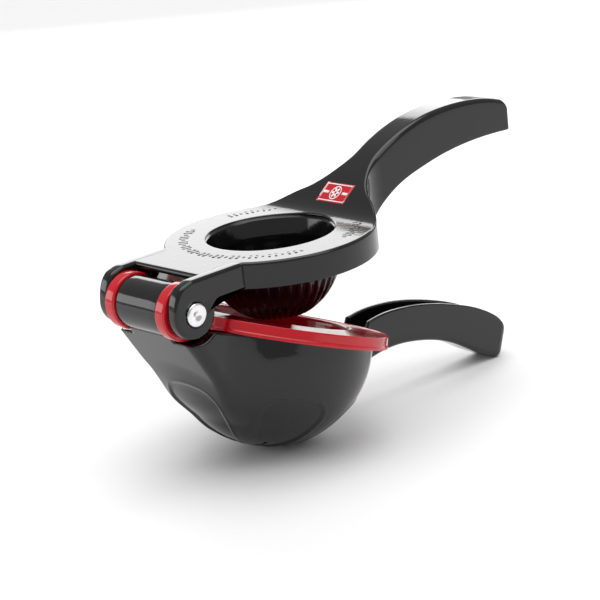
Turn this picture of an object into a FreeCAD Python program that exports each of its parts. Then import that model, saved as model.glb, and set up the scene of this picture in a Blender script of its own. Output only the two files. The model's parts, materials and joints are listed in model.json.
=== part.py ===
"""Hand-held hinged citrus press with a hinged inner cup.

Every arm is drawn in its own closed position, with the hinge axis along Y through
(0, 0, 0), X running from the hinge to the handles and Z up from the plane of the
rims.  The upper arm is then swung open about the hinge, and the whole press is
tipped until the bowl and the tip of the lower handle both rest on the table.
The origin of the finished model is on the table, under the middle of the press.
"""
import FreeCAD, Part
import math
import os

V = FreeCAD.Vector

# ---------------------------------------------------------------- hinge
pin_radius = 5.0
pin_fit = 0.06              # radial running clearance of every bore on the pin
pin_overhang = 1.1          # length of pin that shows outside each lug
pin_rounding = 0.9
side_gap = 0.25             # axial clearance between neighbours on the pin
barrel_radius = 11.3
barrel_width = 26.6
eye_radius = 12.3
eye_width = 5.8
lug_radius = 10.6
lug_width = 6.0
swing_gap = 0.5             # clearance left round anything that turns past
web_depth = 10.1            # hinge axis to the sloping face of the web
web_slope = 38.7            # slope of that face, in degrees below level

# ---------------------------------------------------------------- cups and rims
bowl_radius = 45.5
bowl_wall = 2.6
bowl_depth = 57.0           # plane of the rims down to the outside of the bowl
foot_flat = 0.8             # how much the bottom of the bowl is flattened
insert_radius = 36.5
insert_wall = 2.5
rim_overhang = 6.0          # flange edge outside the bowl
flange_thickness = 2.6
band_height = 6.2
band_wall = 2.2
band_lip = 0.5
hinge_reach = 14.5          # hinge axis to the edge of the flange
seat_gap = 0.3              # flange to bowl rim
ring_radius = 46.3
ring_top = 14.3             # top of the upper arm above the plane of the rims
ring_height = 11.7
ring_thickness = 3.2
skirt_wall = 3.0
plate_front = 6.5           # hinge axis to the straight front edge of the plate
dome_radius = 29.6          # over the ribs
dome_centre = 4.6           # height of the centre of the dome
dome_wall = 2.6
dome_mouth = 28.4           # radius of the round opening in the plate
rib_count = 36
rib_height = 1.1
rib_thickness = 1.9

# ---------------------------------------------------------------- drains
slot_count = 8
slot_length = 7.0
slot_width = 2.2
slot_ring = 14.0            # centre of the cup to the middle of each slot
drain_count = 12
drain_radius = 2.0
drain_ring = 17.0

# ---------------------------------------------------------------- handles
handle_length = 216.0       # hinge axis to the end of both handles
handle_half_width = 7.8
handle_wall = 2.4
handle_floor = 3.4
root_fillet = 12.0          # concave plan radius between a rim and its handle
fillet_sink = 0.3           # how far the ends of those fillets run into the rim
end_radius = 6.0            # plan corners of the lower handle
nose_radius = 6.5           # lower corner of the lower handle
nose_drop = 9.3             # foot of the nose below the plane of the rims
open_angle = 20.5           # how far the upper arm stands open

# ---------------------------------------------------------------- worked out
flange_radius = bowl_radius + rim_overhang
cup_reach = hinge_reach + flange_radius
barrel_half = barrel_width / 2
eye_inner = barrel_half + side_gap
eye_outer = eye_inner + eye_width
lug_inner = eye_outer + side_gap
lug_outer = lug_inner + lug_width
bore_radius = pin_radius + pin_fit
ring_bottom = ring_top - ring_height
bowl_rim = -flange_thickness - seat_gap
bowl_centre = bowl_radius - bowl_depth
rib_root = dome_radius - rib_height


def polygon_face(points):
    """Flat face from (x, z) corners, standing in the plane y = 0."""
    corners = [V(x, 0, z) for x, z in points]
    return Part.Face(Part.makePolygon(corners + corners[:1]))


def prism(face, y_from, y_to):
    """Solid made by pushing a face of the plane y = 0 from y_from to y_to."""
    moved = face.copy()
    moved.translate(V(0, y_from, 0))
    return moved.extrude(V(0, y_to - y_from, 0))


def axle(radius, y_from, y_to, x=0.0, z=0.0):
    """Cylinder along Y."""
    return Part.makeCylinder(radius, y_to - y_from, V(x, y_from, z), V(0, 1, 0))


def post(radius, z_from, z_to, x=cup_reach, y=0.0):
    """Cylinder along Z."""
    return Part.makeCylinder(radius, z_to - z_from, V(x, y, z_from), V(0, 0, 1))


def about_cup_axis(edges):
    """Full turn of a closed outline about the vertical axis of the cups."""
    face = Part.Face(Part.Wire(Part.sortEdges(edges)[0]))
    return face.revolve(V(cup_reach, 0, 0), V(0, 0, 1), 360)


def line(a, b):
    """Edge between two (radius, z) points measured from the axis of the cups."""
    return Part.makeLine(V(cup_reach + a[0], 0, a[1]), V(cup_reach + b[0], 0, b[1]))


def quarter(radius, centre_z):
    """Quarter circle from the side of a cup to the axis at its bottom."""
    side = V(cup_reach + radius, 0, centre_z)
    middle = V(cup_reach + radius * math.sqrt(0.5), 0, centre_z - radius * math.sqrt(0.5))
    bottom = V(cup_reach, 0, centre_z - radius)
    return Part.Arc(side, middle, bottom).toShape()


def cup(outer, inner, centre_z, top):
    """Round-bottomed cup with straight sides above centre_z."""
    return about_cup_axis([
        line((outer, top), (outer, centre_z)),
        quarter(outer, centre_z),
        line((0, centre_z - outer), (0, centre_z - inner)),
        quarter(inner, centre_z),
        line((inner, centre_z), (inner, top)),
        line((inner, top), (outer, top))])


def filled_cup(outer, centre_z, top):
    """The same round-bottomed shape without a hollow."""
    return about_cup_axis([
        line((outer, top), (outer, centre_z)),
        quarter(outer, centre_z),
        line((0, centre_z - outer), (0, top)),
        line((0, top), (outer, top))])


def around(shape, count, start=0.0):
    """Copies of a shape spread evenly round the axis of the cups."""
    copies = []
    for index in range(count):
        turned = shape.copy()
        turned.rotate(V(cup_reach, 0, 0), V(0, 0, 1), start + 360.0 * index / count)
        copies.append(turned)
    return copies


def spline(points):
    """Smooth curve through (x, z) points in the plane y = 0."""
    curve = Part.BSplineCurve()
    curve.interpolate([V(x, 0, z) for x, z in points])
    return curve.toShape()


def between(top_points, bottom_points, nose=0.0):
    """Face between two smooth curves that both run from the rim to the tip.

    With a nose the lower curve stops that far short of the tip, and a quarter
    circle of that radius rounds the lower corner.
    """
    top = spline(top_points)
    bottom = spline(bottom_points)
    root = Part.makeLine(V(top_points[0][0], 0, top_points[0][1]),
                         V(bottom_points[0][0], 0, bottom_points[0][1]))
    corner_x, corner_z = bottom_points[-1]
    edges = [root, bottom]
    if nose > 0:
        middle = V(corner_x + nose * math.sqrt(0.5), 0, corner_z + nose * (1 - math.sqrt(0.5)))
        turned = V(corner_x + nose, 0, corner_z + nose)
        edges.append(Part.Arc(V(corner_x, 0, corner_z), middle, turned).toShape())
        corner_x, corner_z = turned.x, turned.z
    edges.append(Part.makeLine(V(corner_x, 0, corner_z), V(top_points[-1][0], 0, top_points[-1][1])))
    edges.append(top)
    return Part.Face(Part.Wire(edges))


def handle_plan(rim, half_width, length, corner, fillet):
    """Plan outline of a handle that flares into a rim with concave fillets.

    The root is cut square a little inside the rim, and the rim itself is taken
    away by the caller.  The tip has rounded corners.
    """
    met = rim - fillet_sink
    centre_y = half_width + fillet
    centre_x = cup_reach + math.sqrt((met + fillet) ** 2 - centre_y ** 2)
    share = met / (met + fillet)
    touch = V(cup_reach + (centre_x - cup_reach) * share, centre_y * share, 0)
    lowest = V(centre_x, half_width, 0)
    toward = V(touch.x - centre_x, touch.y - centre_y, 0)
    turn = (toward + V(0, -fillet, 0))
    turn.normalize()
    middle = V(centre_x, centre_y, 0) + turn * fillet
    inside = V(cup_reach + rim * 0.72, touch.y, 0)
    square = V(length - corner, half_width, 0)
    nose = V(length - corner * (1 - math.sqrt(0.5)), half_width - corner * (1 - math.sqrt(0.5)), 0)
    flat = V(length, half_width - corner, 0)

    def mirrored(point):
        return V(point.x, -point.y, 0)

    edges = [Part.makeLine(inside, touch),
             Part.Arc(touch, middle, lowest).toShape(),
             Part.makeLine(lowest, square),
             Part.Arc(square, nose, flat).toShape(),
             Part.makeLine(flat, mirrored(flat)),
             Part.Arc(mirrored(flat), mirrored(nose), mirrored(square)).toShape(),
             Part.makeLine(mirrored(square), mirrored(lowest)),
             Part.Arc(mirrored(lowest), mirrored(middle), mirrored(touch)).toShape(),
             Part.makeLine(mirrored(touch), mirrored(inside)),
             Part.makeLine(mirrored(inside), inside)]
    return Part.Face(Part.Wire(edges))


def standing(face, z_from, z_to):
    """Solid made by raising a plan outline from z_from to z_to."""
    moved = face.copy()
    moved.translate(V(0, 0, z_from))
    return moved.extrude(V(0, 0, z_to - z_from))


# ---------------------------------------------------------------- lower arm
def lower_bowl():
    """Deep round bowl with drain slots round its bottom."""
    body = cup(bowl_radius, bowl_radius - bowl_wall, bowl_centre, bowl_rim)
    slot = Part.makeBox(slot_length, slot_width, bowl_radius,
                        V(cup_reach + slot_ring - slot_length / 2, -slot_width / 2,
                          -bowl_depth - bowl_radius / 2))
    flat = post(bowl_radius, -bowl_depth - 1, foot_flat - bowl_depth)
    return body.cut(flat).cut(around(slot, slot_count, 180.0 / slot_count))


def on_slope(along):
    """Point of the web's sloping face, counted down the slope from beside the hinge."""
    slope = math.radians(web_slope)
    return (along * math.cos(slope) - web_depth * math.sin(slope),
            -along * math.sin(slope) - web_depth * math.cos(slope))


def web_side():
    """Side outline of the sloping web from beside the hinge to the side of the bowl."""
    top = -band_height - swing_gap
    foot_x, foot_z = on_slope(cup_reach - eye_radius)
    return polygon_face([on_slope(0), (foot_x, foot_z), (cup_reach, foot_z), (cup_reach, top), (0, top)])


def clear_of_insert():
    """Space that the band of the insert needs, with room to swing up."""
    return post(flange_radius + band_lip + swing_gap, -band_height - swing_gap, ring_top)


def lower_hinge_web():
    """Wedge as wide as the insert's eyes that carries the hinge on the bowl."""
    web = prism(web_side(), -eye_outer, eye_outer)
    web = web.cut(filled_cup(bowl_radius, bowl_centre, ring_top))
    return web.cut(axle(eye_radius + swing_gap, -lug_outer, lug_outer))


def lower_hinge_barrel():
    """Middle knuckle of the hinge, with a saddle that fills the space down to the web."""
    knuckle = axle(barrel_radius, -barrel_half, barrel_half)
    saddle = axle(eye_radius + swing_gap, -barrel_half, barrel_half)
    saddle = saddle.common(prism(web_side(), -barrel_half, barrel_half))
    solid = knuckle.fuse(saddle).removeSplitter()
    return solid.cut(axle(bore_radius, -barrel_width, barrel_width))


def lower_handle():
    """Upward-open channel that rises past the rim and droops to a rounded tip."""
    tip = handle_length
    top = [(cup_reach + bowl_radius * 0.8, -1.0), (112, -1.5), (119, 2.4), (126, 6.0), (136, 9.4),
           (149, 12.2), (163, 13.8), (177, 14.3), (190, 13.8), (202, 11.8), (tip - 5.5, 8.2),
           (tip, 3.0)]
    bottom = [(cup_reach + bowl_radius * 0.6, -39.0), (105, -29.5), (115, -21.5), (126, -13.8),
              (134, -9.9), (141, -7.4), (154, -4.7), (168, -3.6), (182, -4.7), (196, -7.4),
              (tip - nose_radius, -nose_drop)]
    outer_plan = handle_plan(bowl_radius, handle_half_width, tip, end_radius, root_fillet)
    outer = prism(between(top, bottom, nose_radius), -40, 40).common(standing(outer_plan, -80, 60))
    outer = outer.cut(filled_cup(bowl_radius, bowl_centre, ring_top))
    outer = outer.cut(clear_of_insert())
    raised = [(x, z + handle_floor) for x, z in bottom] + [(tip, handle_floor - nose_drop)]
    sky = [(x, z + 40) for x, z in top]
    inner_plan = handle_plan(bowl_radius + handle_wall, handle_half_width - handle_wall, tip - handle_wall,
                             end_radius - handle_wall, root_fillet)
    trough = prism(between(sky, raised), -40, 40).common(standing(inner_plan, -80, 90))
    trough = trough.cut(post(bowl_radius + handle_wall, -80, 90))
    return outer.cut(trough)


# ---------------------------------------------------------------- insert
def insert_cup():
    """The insert cup below its flange, pierced by two rings of holes."""
    inner = insert_radius - insert_wall
    drop = -flange_thickness
    outer_half = math.sqrt(insert_radius ** 2 - drop ** 2)
    inner_half = math.sqrt(inner ** 2 - drop ** 2)

    def arc(radius, from_r):
        start_angle = math.asin(drop / radius)
        half = (start_angle - math.pi / 2) / 2
        mid = V(cup_reach + radius * math.cos(half), 0, radius * math.sin(half))
        return Part.Arc(V(cup_reach + from_r, 0, drop), mid, V(cup_reach, 0, -radius)).toShape()

    body = about_cup_axis([arc(insert_radius, outer_half),
                           line((0, -insert_radius), (0, -inner)),
                           arc(inner, inner_half),
                           line((inner_half, drop), (outer_half, drop))])
    hole = post(drain_radius, -insert_radius * 1.1, -insert_radius * 0.5, cup_reach + drain_ring)
    holes = around(hole, drain_count)
    close = post(drain_radius, -insert_radius * 1.1, -insert_radius * 0.5, cup_reach + drain_ring / 2)
    holes += around(close, drain_count // 2)
    holes.append(post(drain_radius, -insert_radius * 1.1, -insert_radius * 0.5))
    return body.cut(holes)


def insert_flange():
    """Flat rim of the insert with its turned-down band."""
    inner = insert_radius - insert_wall
    edge = flange_radius
    lip = flange_radius + band_lip
    return about_cup_axis([
        line((inner, 0), (edge - 0.8, 0)),
        line((edge - 0.8, 0), (edge, -0.8)),
        line((edge, -0.8), (edge, -band_height + 1.6)),
        line((edge, -band_height + 1.6), (lip, -band_height + 0.9)),
        line((lip, -band_height + 0.9), (lip, -band_height)),
        line((lip, -band_height), (edge - band_wall, -band_height)),
        line((edge - band_wall, -band_height), (edge - band_wall, -flange_thickness)),
        line((edge - band_wall, -flange_thickness), (inner, -flange_thickness)),
        line((inner, -flange_thickness), (inner, 0))])


def insert_eye(side):
    """One hinge eye of the insert with the arm that carries it to the flange."""
    y_from = side * eye_inner
    y_to = side * eye_outer
    low, high = min(y_from, y_to), max(y_from, y_to)
    eye = axle(eye_radius, low, high)
    arm = prism(polygon_face([(0, 0),
                              (math.sqrt(eye_radius ** 2 - band_height ** 2), -band_height),
                              (cup_reach - flange_radius + 8, -band_height),
                              (cup_reach - flange_radius + 8, 0)]), low, high)
    solid = eye.fuse(arm).removeSplitter()
    solid = solid.cut(axle(bore_radius, low - 1, high + 1))
    return solid.cut(post(flange_radius + band_lip, -bowl_depth, ring_top))


# ---------------------------------------------------------------- upper arm
def upper_plan(inset):
    """Plan of the plate: the ring joined to a square-fronted neck at the hinge."""
    ring = post(ring_radius - inset, ring_bottom, ring_top)
    neck = Part.makeBox(cup_reach - plate_front - inset, 2 * (lug_outer - inset), ring_height,
                        V(plate_front + inset, inset - lug_outer, ring_bottom))
    return ring.fuse(neck).removeSplitter()


def plunger_ring():
    """Flat ring plate with a skirt, relieved round the hinge."""
    solid = upper_plan(0.0)
    under = upper_plan(skirt_wall)
    under.translate(V(0, 0, -ring_thickness))
    solid = solid.cut(under)
    solid = solid.cut(axle(eye_radius + swing_gap, -lug_inner, lug_inner))
    for side in (-1, 1):
        low = min(side * lug_inner, side * lug_outer)
        solid = solid.cut(axle(lug_radius, low, low + lug_width))
        solid = solid.cut(Part.makeBox(plate_front + skirt_wall, lug_width, 2 * ring_top,
                                       V(0, low, 0)))
    return solid.cut(post(dome_mouth, ring_bottom - 1, ring_top + 1))


def plunger_dome():
    """Hollow dome under the ring, fluted outside by upright ribs."""
    inner = rib_root - dome_wall
    neck_top = ring_top - ring_thickness
    wall = about_cup_axis([
        line((rib_root, neck_top), (rib_root, dome_centre)),
        quarter(rib_root, dome_centre),
        line((0, dome_centre - rib_root), (0, dome_centre - inner)),
        quarter(inner, dome_centre),
        line((inner, dome_centre), (inner, neck_top)),
        line((inner, neck_top), (rib_root, neck_top))])
    strip = Part.Face(Part.Wire(Part.sortEdges([
        line((dome_radius, dome_centre), (rib_root - 0.5, dome_centre)),
        quarter(rib_root - 0.5, dome_centre),
        line((0, dome_centre - rib_root + 0.5), (0, dome_centre - dome_radius)),
        quarter(dome_radius, dome_centre)])[0]))
    rib = prism(strip, -rib_thickness / 2, rib_thickness / 2)
    rib = rib.cut(post(dome_radius * 0.42, dome_centre - 2 * dome_radius, dome_centre))
    return wall.multiFuse(around(rib, rib_count))


def upper_lug(side):
    """One outer hinge lug, curving down from the front of the plate."""
    low, high = min(side * lug_inner, side * lug_outer), max(side * lug_inner, side * lug_outer)
    lean = math.radians(128)
    heel = math.radians(-20)
    disc = axle(lug_radius, low, high)
    cheek = prism(polygon_face([(0, 0),
                                (lug_radius * math.cos(lean), lug_radius * math.sin(lean)),
                                (plate_front * 0.6, ring_top),
                                (plate_front + skirt_wall, ring_top),
                                (plate_front + skirt_wall, ring_bottom),
                                (lug_radius * math.cos(heel), lug_radius * math.sin(heel))]), low, high)
    solid = disc.fuse(cheek).removeSplitter()
    return solid.cut(axle(bore_radius, low - 1, high + 1))


def upper_handle():
    """Downward-open channel that climbs off the ring in an S curve."""
    tip = handle_length
    root = cup_reach + ring_radius * 0.6
    top = [(root, ring_top), (100, ring_top + 3.6), (111, 24.6), (122, 31.4), (134, 37.6), (147, 42.4),
           (160, 45.2), (176, 46.3), (192, 45.6), (206, 43.2), (tip, 40.2)]
    bottom = [(root, ring_bottom), (108, ring_bottom + 0.3), (117, 5.4), (125, 9.9), (133, 14.8),
              (142, 18.8), (154, 22.0), (168, 24.7), (182, 26.2), (197, 26.7), (tip, 26.0)]
    outer_plan = handle_plan(ring_radius, handle_half_width, tip, end_radius / 3, root_fillet)
    outer = prism(between(top, bottom), -40, 40).common(standing(outer_plan, -80, 60))
    lowered = [(x, z - handle_floor) for x, z in top]
    ground = [(x, z - 40) for x, z in bottom]
    inner_plan = handle_plan(ring_radius, handle_half_width - handle_wall, tip - handle_wall,
                             end_radius / 3, root_fillet + handle_wall)
    trough = prism(between(lowered, ground), -40, 40).common(standing(inner_plan, -80, 60))
    solid = outer.cut(trough)
    return solid.cut(post(ring_radius, ring_bottom - 1, ring_top)).cut(
        post(dome_mouth, ring_bottom, ring_top * 3))


def hinge_pin():
    """Plain pin through all five knuckles, with rounded ends."""
    pin = axle(pin_radius, -lug_outer - pin_overhang, lug_outer + pin_overhang)
    rims = [edge for edge in pin.Edges if abs(edge.Length - 2 * math.pi * pin_radius) < 0.01]
    return pin.makeFillet(pin_rounding, rims)


# ---------------------------------------------------------------- placing
def rest_tilt():
    """Angle at which the bowl and the nose of the lower handle both touch the table."""
    nose_x = handle_length - nose_radius - cup_reach
    nose_z = nose_radius - nose_drop - bowl_centre
    span = math.hypot(nose_x, nose_z)
    return math.degrees(math.atan2(nose_z, nose_x) + math.asin((bowl_radius - nose_radius) / span))


def place(shape, opened):
    """Swing a shape open about the hinge, tip the press and set it on the table.

    Here X is still counted from the point where the bowl touches the table.
    """
    tilt = rest_tilt()
    placed = shape.copy()
    placed.rotate(V(0, 0, 0), V(0, 1, 0), tilt - opened)
    lean = math.radians(tilt)
    centre_x = cup_reach * math.cos(lean) + bowl_centre * math.sin(lean)
    centre_z = bowl_centre * math.cos(lean) - cup_reach * math.sin(lean)
    placed.translate(V(-centre_x, 0, bowl_radius - centre_z))
    return placed


def main():
    """Build every node and write one STEP file for each."""
    os.makedirs("parts", exist_ok=True)
    fixed = {
        "lower_bowl": lower_bowl(),
        "lower_hinge_web": lower_hinge_web(),
        "lower_hinge_barrel": lower_hinge_barrel(),
        "lower_handle": lower_handle(),
        "insert_cup": insert_cup(),
        "insert_flange": insert_flange(),
        "insert_eye_right": insert_eye(-1),
        "insert_eye_left": insert_eye(1)}
    swung = {
        "plunger_ring": plunger_ring(),
        "plunger_dome": plunger_dome(),
        "upper_lug_right": upper_lug(-1),
        "upper_lug_left": upper_lug(1),
        "upper_handle": upper_handle(),
        "hinge_pin": hinge_pin()}
    placed = {name: place(shape, 0.0) for name, shape in fixed.items()}
    placed.update({name: place(shape, open_angle) for name, shape in swung.items()})
    extent = Part.makeCompound(list(placed.values())).optimalBoundingBox()
    for name, shape in placed.items():
        shape.translate(V(-(extent.XMin + extent.XMax) / 2, 0, 0))
        shape.exportStep(os.path.join("parts", name + ".step"))


main()
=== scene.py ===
"""Blender looks for the hand-held hinged citrus press, laid out as an add-on.

Every new surface is worked out with numpy in the press's own closed position, in
millimetres: the hinge axis is Y through (0, 0, 0), X runs to the handles and Z up from
the plane of the rims.  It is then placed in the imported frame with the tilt, hinge
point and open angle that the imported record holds.
"""
import json
import math

import bmesh
import bpy
import numpy as np
from mathutils import Matrix, Vector


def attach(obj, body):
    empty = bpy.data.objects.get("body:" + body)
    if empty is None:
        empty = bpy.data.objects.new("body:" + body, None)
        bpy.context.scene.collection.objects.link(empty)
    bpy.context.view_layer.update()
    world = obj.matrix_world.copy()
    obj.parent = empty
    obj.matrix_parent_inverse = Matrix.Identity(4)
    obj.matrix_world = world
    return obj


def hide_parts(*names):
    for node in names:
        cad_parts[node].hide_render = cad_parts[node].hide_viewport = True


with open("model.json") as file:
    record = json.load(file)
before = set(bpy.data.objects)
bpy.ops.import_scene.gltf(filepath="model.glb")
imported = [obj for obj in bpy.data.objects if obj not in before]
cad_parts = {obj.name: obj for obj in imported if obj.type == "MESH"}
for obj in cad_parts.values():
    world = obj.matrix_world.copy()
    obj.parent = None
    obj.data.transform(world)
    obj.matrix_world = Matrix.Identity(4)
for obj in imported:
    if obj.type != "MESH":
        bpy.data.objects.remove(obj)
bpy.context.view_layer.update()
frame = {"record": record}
RECORD = frame["record"]

bl_info = {
    "name": "Citrus press",
    "version": (1, 0, 0),
    "blender": (4, 5, 0),
    "location": "View3D > Sidebar > Citrus press",
    "description": "Builds the enamelled castings, pin, studio and camera of a citrus press",
    "category": "Object",
}

# ------------------------ frame of the press
FOOT = RECORD["mounts"][0]
TILT = math.atan2(-FOOT["axis"][0], -FOOT["axis"][2])
HINGE = {joint["name"]: joint for joint in RECORD["behaviour"]["joints"]}
HINGE_POINT = np.array(HINGE["insert_hinge"]["pos_m"], dtype=float)
OPENED = math.radians(-HINGE["upper_arm_hinge"]["range_deg"][0])


def placed(points, opened=0.0):
    """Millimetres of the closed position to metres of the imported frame.

    The point is turned by `opened` about the hinge axis, then by -TILT, so that
    (x, z) -> (x cos a + z sin a, z cos a - x sin a) with a = TILT - opened, and the
    hinge point is added.
    """
    turn = TILT - opened
    x, y, z = points[..., 0], points[..., 1], points[..., 2]
    moved = join(x * math.cos(turn) + z * math.sin(turn), y,
                 z * math.cos(turn) - x * math.sin(turn))
    return moved * 0.001 + HINGE_POINT


# ------------------------ sizes, in millimetres
CUP_X = 66.0            # hinge axis to the axis of the cups
CUP = np.array([CUP_X, 0.0])
BOWL_R = 45.5
BOWL_WALL = 2.6
BOWL_Z = -11.5          # centre of the round part of the bowl
BOWL_RIM = -2.9
INSERT_R = 36.5
INSERT_WALL = 2.5
FLANGE_R = 51.5
FLANGE_T = 2.6
BAND_H = 6.2
BAND_WALL = 2.2
BAND_LIP = 0.5
RING_R = 46.3
RING_TOP = 14.3
RING_BOTTOM = 2.6
PLATE_T = 3.2
SKIRT = 3.0
PLATE_FRONT = 6.5
DOME_R = 29.6
DOME_Z = 4.6
DOME_INNER = 25.9
HOLE_R = 28.2
HOLE_EDGE = 0.6
RIBS = 36
RIB_H = 1.1
PIN_R = 5.0
PIN_EDGE = 0.9
BORE_R = 5.06
BARREL_R = 11.3
BARREL_HALF = 13.3
EYE_R = 12.3
EYE_IN = 13.55
EYE_OUT = 19.35
LUG_R = 10.6
LUG_IN = 19.6
LUG_OUT = 25.6
SWING = 0.5
WEB_DEPTH = 10.1
WEB_SLOPE = math.radians(38.7)
HANDLE_END = 216.0
HANDLE_HALF = 7.8
HANDLE_WALL = 2.4
HANDLE_SHEET = 3.4
HANDLE_TIP_R = 2.0
ROOT_FILLET = 25.0
ROOT_START = math.radians(52.0)   # bearing on the ring where the handle's piece begins
FLUSH = 0.01            # height difference of two faces that meet without a step
NOSE_R = 6.5
NOSE_DROP = 9.3
WEB_FILLET = 9.0        # hollow fillets of the web and the handle's root into the bowl
WEB_SPAN = 0.75         # half of the bearings given to the web and to the handle's root
ROOT_SPAN = 0.5
ROOT_FROM = 96.0
ROOT_TO = 117.4
PETALS = 5
PETAL_HALF = math.radians(23.5)
PETAL_TOP = math.radians(66.0)
PETAL_BOTTOM = math.radians(9.0)
SLOT_COUNT = 8
SLOT_RING = 14.0
SLOT = (7.0, 2.2)       # length and width of a drain slot in the bowl
SIDES = (("right", -1), ("left", 1))
DRAIN_R = 2.0
DRAINS = ((17.0, 12), (8.5, 6), (0.0, 1))   # ring and number of holes in the insert
LIP_T = 5.4             # the plate's front lip over the barrel
DASH_ARCS = ((112, 248, 34), (284, 316, 9), (44, 76, 9))   # first and last bearing, number
LABEL_X = 106.6
LABEL_HALF = (4.3, 8.6)


# ------------------------ mesh making
def mesh_piece(name, grids, opened=0.0, weld=2e-6):
    """One object from point grids.

    Each grid is (points, wrap_u, wrap_v) with points[u, v] = (x, y, z); quads join
    neighbours in u and v, and the last row or column joins the first where it wraps.
    Doubles are merged, which closes poles and seams, and normals are made to point out.
    """
    verts, faces, start = [], [], 0
    for points, wrap_u, wrap_v in grids:
        rows, cols = points.shape[:2]
        verts.append(placed(points, opened).reshape(-1, 3))
        u = np.arange(rows if wrap_u else rows - 1)
        v = np.arange(cols if wrap_v else cols - 1)
        uu, vv = np.meshgrid(u, v, indexing="ij")
        un, vn = (uu + 1) % rows, (vv + 1) % cols
        quad = join(uu * cols + vv, un * cols + vv, un * cols + vn, uu * cols + vn)
        faces.append(quad.reshape(-1, 4) + start)
        start += rows * cols
    mesh = bpy.data.meshes.new(name)
    mesh.from_pydata(np.concatenate(verts).tolist(), [], np.concatenate(faces).tolist())
    shell = bmesh.new()
    shell.from_mesh(mesh)
    bmesh.ops.remove_doubles(shell, verts=shell.verts, dist=weld)
    bmesh.ops.dissolve_degenerate(shell, edges=shell.edges, dist=1e-7)
    bmesh.ops.recalc_face_normals(shell, faces=shell.faces)
    shell.to_mesh(mesh)
    shell.free()
    mesh.shade_smooth()
    mesh.update()
    piece = bpy.data.objects.new(name, mesh)
    bpy.context.collection.objects.link(piece)
    return piece


def cut_away(piece, cutter):
    """Takes the cutter's closed shells out of the piece and removes the cutter."""
    trim = piece.modifiers.new("cut", "BOOLEAN")
    trim.operation = "DIFFERENCE"
    trim.solver = "EXACT"
    trim.object = cutter
    made = bpy.data.meshes.new_from_object(piece.evaluated_get(bpy.context.evaluated_depsgraph_get()))
    piece.modifiers.clear()
    old = piece.data
    piece.data = made
    bpy.data.meshes.remove(old)
    bpy.data.objects.remove(cutter)
    made.shade_smooth()


def join(*parts):
    """Coordinates side by side on a new last axis."""
    return np.stack(parts, axis=-1)


def circle(angle):
    """Points (cos a, sin a) of the unit circle."""
    return join(np.cos(angle), np.sin(angle))


def all_round(count):
    """Evenly spaced bearings of a full turn."""
    return np.linspace(0, math.tau, count, endpoint=False)


def at_height(xy, z):
    """Plan points with their heights."""
    return np.concatenate([xy, np.broadcast_to(z, xy.shape[:-1])[..., None]], axis=-1)


def quarter(radius, count=7):
    """Pairs (r - r sin a, r - r cos a) over a quarter turn, which round off an edge."""
    return [(radius * (1 - math.sin(a)), radius * (1 - math.cos(a)))
            for a in np.linspace(0, math.pi / 2, count)]


def cup_radius(p):
    """Distance from the axis of the cups, in plan."""
    return np.hypot(p[..., 0] - CUP_X, p[..., 1])


def smooth(edge_from, edge_to, value):
    """Smooth step: 0 below edge_from, 1 above edge_to, 3t^2 - 2t^3 between."""
    t = np.clip((value - edge_from) / (edge_to - edge_from), 0.0, 1.0)
    return t * t * (3 - 2 * t)


def curve_through(knots, x):
    """Natural cubic spline through (x, z) knots, straight beyond its ends."""
    kx, kz = np.array(knots, dtype=float).T
    step = np.diff(kx)
    count = len(kx)
    system = np.eye(count)
    right = np.zeros(count)
    inner = np.arange(1, count - 1)
    system[inner, inner - 1] = step[:-1]
    system[inner, inner] = 2 * (step[:-1] + step[1:])
    system[inner, inner + 1] = step[1:]
    right[inner] = 6 * (np.diff(kz)[1:] / step[1:] - np.diff(kz)[:-1] / step[:-1])
    bend = np.linalg.solve(system, right)
    x = np.asarray(x, dtype=float)
    i = np.clip(np.searchsorted(kx, x) - 1, 0, count - 2)
    h = step[i]
    a = kx[i + 1] - x
    b = x - kx[i]
    inside = (bend[i] * a ** 3 + bend[i + 1] * b ** 3) / (6 * h)
    inside = inside + (kz[i] / h - bend[i] * h / 6) * a + (kz[i + 1] / h - bend[i + 1] * h / 6) * b
    first = (kz[1] - kz[0]) / step[0] - step[0] * (2 * bend[0] + bend[1]) / 6
    last = (kz[-1] - kz[-2]) / step[-1] + step[-1] * (bend[-2] + 2 * bend[-1]) / 6
    inside = np.where(x < kx[0], kz[0] + first * (x - kx[0]), inside)
    return np.where(x > kx[-1], kz[-1] + last * (x - kx[-1]), inside)


def rounded(corners, per_corner=6, per_side=1):
    """Outline through (a, b, radius) corners with each corner rounded.

    A corner with radius r is replaced by the quadratic curve
    p(t) = (1-t)^2 p0 + 2t(1-t) c + t^2 p1 that touches both of its sides at r from it.
    """
    pts = np.array([c[:2] for c in corners], dtype=float)
    radii = np.array([c[2] for c in corners], dtype=float)
    before = np.roll(pts, 1, axis=0) - pts
    after = np.roll(pts, -1, axis=0) - pts
    len_b = np.linalg.norm(before, axis=1)
    len_a = np.linalg.norm(after, axis=1)
    p0 = pts + before * np.minimum(radii / len_b, 0.499)[:, None]
    p1 = pts + after * np.minimum(radii / len_a, 0.499)[:, None]
    t = np.linspace(0, 1, per_corner)[None, :, None]
    bends = (1 - t) ** 2 * p0[:, None] + 2 * t * (1 - t) * pts[:, None] + t ** 2 * p1[:, None]
    if per_side > 1:
        s = (np.arange(1, per_side) / per_side)[None, :, None]
        runs = p1[:, None] * (1 - s) + np.roll(p0, -1, axis=0)[:, None] * s
        bends = np.concatenate([bends, runs], axis=1)
    return bends.reshape(-1, 2)


def round_union(a, b, radius):
    """Distance to two joined shapes with a concave fillet where they meet.

    max(r, min(a, b)) - |(max(r - a, 0), max(r - b, 0))|
    """
    return np.maximum(radius, np.minimum(a, b)) - np.hypot(np.maximum(radius - a, 0),
                                                           np.maximum(radius - b, 0))


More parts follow.
